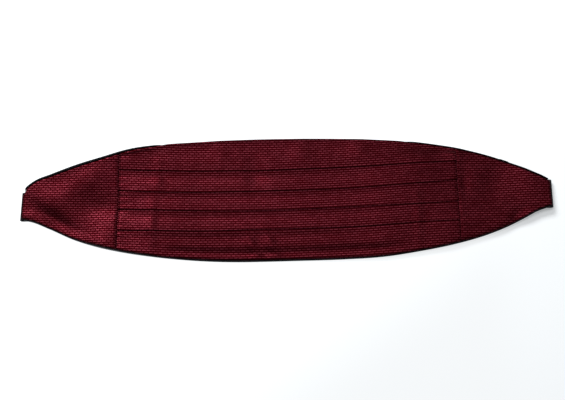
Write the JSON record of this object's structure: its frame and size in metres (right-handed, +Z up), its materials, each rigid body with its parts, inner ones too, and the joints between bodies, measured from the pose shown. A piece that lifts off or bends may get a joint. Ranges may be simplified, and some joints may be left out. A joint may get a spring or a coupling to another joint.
{
  "type": "cummerbund",
  "caption": "Pleated evening cummerbund lying face up: a long lens of burgundy jacquard with plain tapered ends, black lining, and straps turned under to a flat hook and catch.",
  "frame": {"origin": "on the surface that the cummerbund lies on, under the middle of its outline", "axes": "+X along its length toward the strap with the catch, +Y across it toward the edge above the first pleat, +Z up through its front"},
  "size_m": [0.563, 0.1344, 0.0091],
  "materials": {
    "burgundy_jacquard": "soft satin jacquard with small staggered dashes",
    "black_satin": "satin lining",
    "black_tape": "woven ribbed tape",
    "nickel_plate": "nickel-plated stamped steel"
  },
  "bodies": {
    "root": {"front_pleated": "burgundy_jacquard", "end_panel_left": "burgundy_jacquard", "end_panel_right": "burgundy_jacquard", "lining": "black_satin", "strap_left": "black_tape", "strap_right": "black_tape", "strap_hook": "nickel_plate", "strap_catch": "nickel_plate"}
  },
  "joints": []
}
